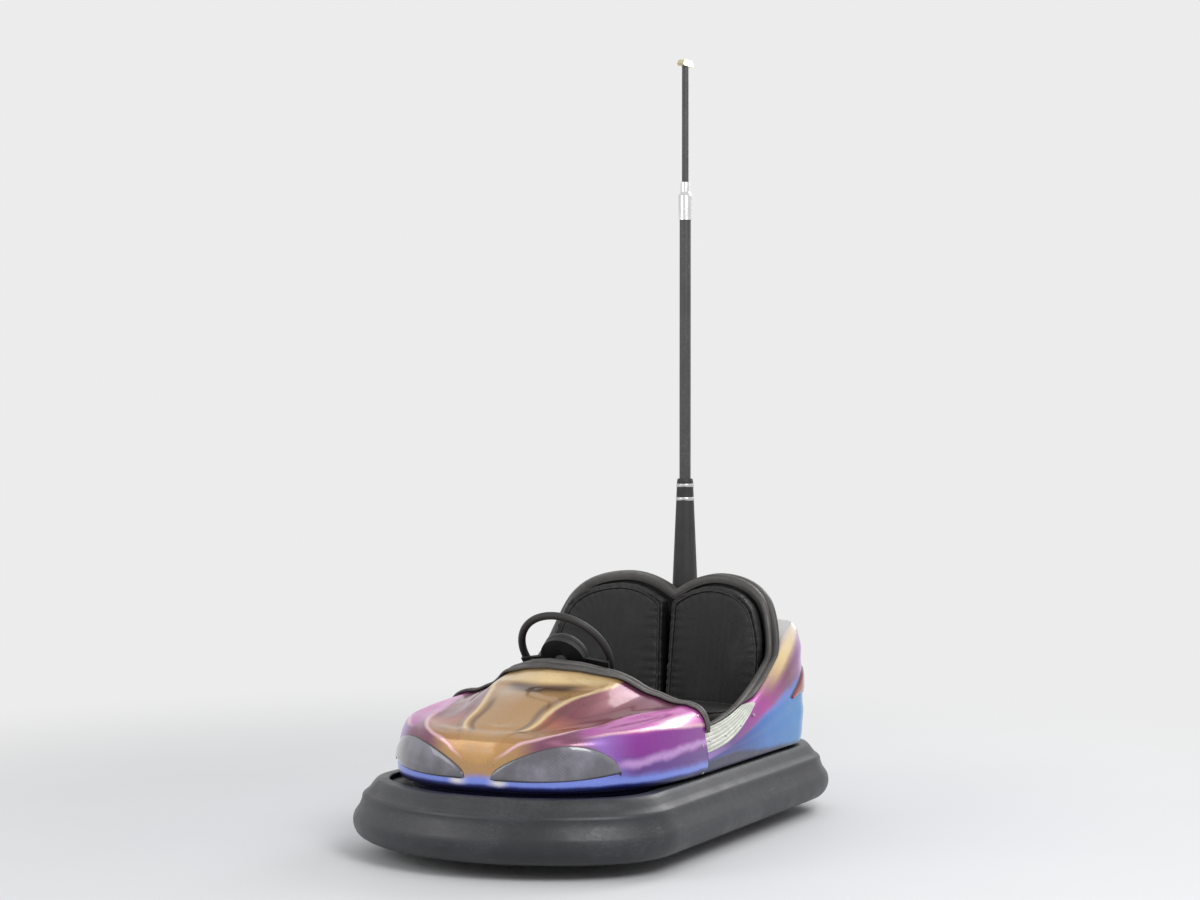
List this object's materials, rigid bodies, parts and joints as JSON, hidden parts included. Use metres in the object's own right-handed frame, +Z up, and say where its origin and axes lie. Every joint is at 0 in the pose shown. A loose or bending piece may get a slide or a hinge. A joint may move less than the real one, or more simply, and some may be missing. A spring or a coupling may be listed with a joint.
{
  "type": "bumper car",
  "caption": "Low two-seat fairground car: soft ring bumper, painted shell, open cockpit, steering wheel, contact pole and a steered drive wheel.",
  "frame": {"origin": "on the floor, under the middle of the bumper", "axes": "+X forwards, +Y to the car's left, +Z up"},
  "size_m": [1.979, 1.159, 2.75],
  "materials": {
    "steel_frame": "black paint over welded steel, scuffed",
    "bumper_rubber": "dark grey moulded rubber, scuffed",
    "shell_gelcoat": "glossy metallic paint in coloured bands",
    "tub_plastic": "black moulded plastic",
    "mat_rubber": "ribbed black rubber",
    "seat_vinyl": "black vinyl",
    "sill_plastic": "ribbed off-white plastic",
    "edging_rubber": "black extruded edging",
    "smoked_lens": "smoked lens",
    "red_lens": "dark red lens",
    "silver_trim": "silver-white paint",
    "grip_rubber": "black moulded grip",
    "bare_steel": "turned steel",
    "cast_wheel": "cast hub",
    "wheel_tyre": "solid rubber tyre",
    "pole_paint": "dark steel tube",
    "bright_ferrule": "bright sleeve",
    "shoe_metal": "pale contact metal"
  },
  "bodies": {
    "car": {"chassis_pan": "steel_frame", "bumper_channel": "steel_frame", "bumper_tyre": "bumper_rubber", "front_shell": "shell_gelcoat", "rear_shell": "shell_gelcoat", "seat_tub": "tub_plastic", "floor_mat": "mat_rubber", "seat_cushion": "seat_vinyl", "back_pad_left": "seat_vinyl", "back_pad_right": "seat_vinyl", "sill_plate_left": "sill_plastic", "sill_plate_right": "sill_plastic", "cowl_trim": "edging_rubber", "rim_trim": "edging_rubber", "headlamp_left": "smoked_lens", "headlamp_right": "smoked_lens", "tail_lamp_left": "red_lens", "tail_lamp_right": "red_lens", "high_lamp_left": "red_lens", "high_lamp_right": "red_lens", "rear_chevron": "silver_trim", "dash_panel": "tub_plastic", "steering_column": "steel_frame", "steering_tower": "steel_frame", "pedal": "bare_steel", "pole_base": "steel_frame", "pole_boot": "mat_rubber", "pole_tube": "pole_paint", "pole_ferrule": "bright_ferrule", "pole_rod": "bare_steel", "contact_shoe": "shoe_metal", "rear_axle": "steel_frame"},
    "drive_unit": {"drive_fork": "steel_frame", "drive_motor": "cast_wheel"},
    "drive_wheel": {"drive_hub": "cast_wheel", "drive_tyre": "wheel_tyre"},
    "rear_wheel_left": {"rear_hub_left": "cast_wheel", "rear_tyre_left": "wheel_tyre"},
    "rear_wheel_right": {"rear_hub_right": "cast_wheel", "rear_tyre_right": "wheel_tyre"},
    "steering_wheel": {"steering_rim": "grip_rubber", "steering_hub_pad": "grip_rubber", "steering_shaft": "bare_steel"}
  },
  "joints": [
    {"name": "drive_unit_turn", "type": "hinge", "parent": "car", "child": "drive_unit", "pos_m": [0.48, 0, 0.3], "axis": [0, 0, 1], "continuous": true},
    {"name": "drive_wheel_spin", "type": "hinge", "parent": "drive_unit", "child": "drive_wheel", "pos_m": [0.48, 0, 0.12], "axis": [0, 1, 0], "continuous": true},
    {"name": "rear_wheel_left_spin", "type": "hinge", "parent": "car", "child": "rear_wheel_left", "pos_m": [-0.5, 0.36, 0.08], "axis": [0, 1, 0], "continuous": true},
    {"name": "rear_wheel_right_spin", "type": "hinge", "parent": "car", "child": "rear_wheel_right", "pos_m": [-0.5, -0.36, 0.08], "axis": [0, 1, 0], "continuous": true},
    {"name": "steering_wheel_turn", "type": "hinge", "parent": "car", "child": "steering_wheel", "pos_m": [0.235, 0, 0.64], "axis": [-0.8192, 0, 0.5736], "continuous": true}
  ],
  "couplings": [
    {"joint": "steering_wheel_turn", "follows": "drive_unit_turn", "ratio": 1}
  ]
}
